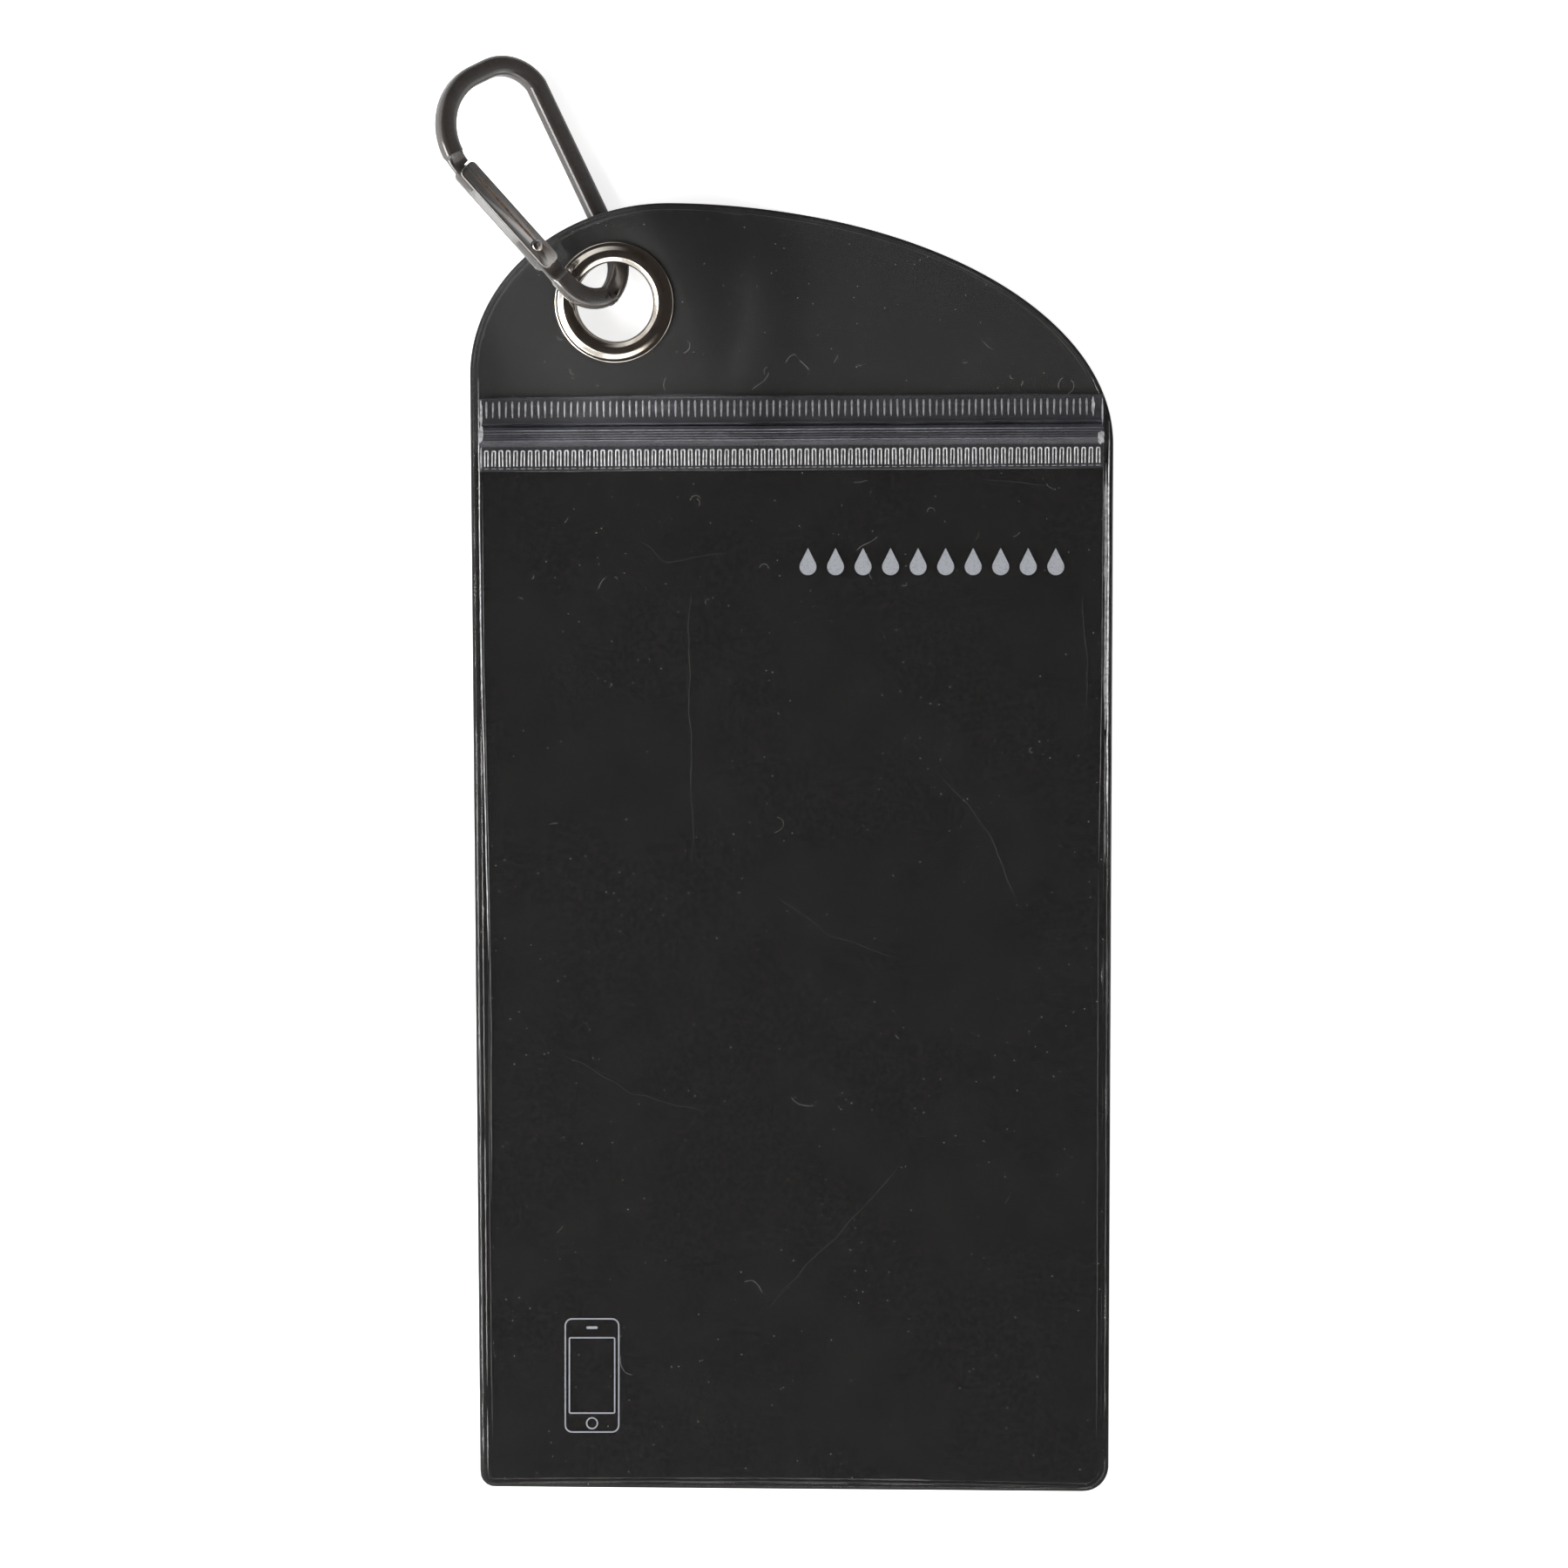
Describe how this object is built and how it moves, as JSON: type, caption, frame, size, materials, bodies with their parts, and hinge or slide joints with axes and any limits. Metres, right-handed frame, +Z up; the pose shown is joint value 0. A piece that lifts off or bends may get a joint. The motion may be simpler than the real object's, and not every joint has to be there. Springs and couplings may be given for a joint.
{
  "type": "splashproof phone pouch",
  "caption": "Flat welded film pouch for a phone with a press-to-close zip, a metal eyelet in its domed header and a small snap hook that swings in the eyelet.",
  "frame": {"origin": "middle of the pouch's back, on the surface it lies on", "axes": "+Y from the pouch's foot to its domed header, +Z up out of its front, +X to the right as seen from the front"},
  "size_m": [0.1118, 0.2369, 0.0139],
  "materials": {
    "black_film": "soft black calendered film, glossy, with faint creases and scratches",
    "clear_film": "clear soft film, glossy, with dust and fine scratches",
    "zip_strip": "clear bluish extruded strip with fine ribs and pressed marks",
    "nickel": "polished nickel plate, slightly warm",
    "black_anodised": "satin black anodised, bright along worn edges",
    "bright_steel": "bright rolled sheet and wire, finely brushed"
  },
  "bodies": {
    "pouch": {"back_sheet": "black_film", "header_sheet": "clear_film", "window_sheet": "clear_film", "zip_upper_strip": "zip_strip", "zip_lower_strip": "zip_strip", "eyelet_flange": "nickel", "eyelet_washer": "nickel"},
    "carabiner": {"carabiner_body": "black_anodised", "gate_rivet": "bright_steel"},
    "gate": {"carabiner_gate": "bright_steel", "gate_spring": "bright_steel"}
  },
  "joints": [
    {"name": "carabiner_swing", "type": "hinge", "parent": "pouch", "child": "carabiner", "pos_m": [-0.02689, 0.09319, 0.00182], "axis": [-0.4258, 0.9048, 0], "range_deg": [0, 59]},
    {"name": "gate_hinge", "type": "hinge", "parent": "carabiner", "child": "gate", "pos_m": [-0.04244, 0.09837, 0.00894], "axis": [-0.4655, -0.2191, -0.8575], "range_deg": [0, 28], "stiffness_Nm_per_rad": 0.02, "springref_deg": -20.05}
  ]
}
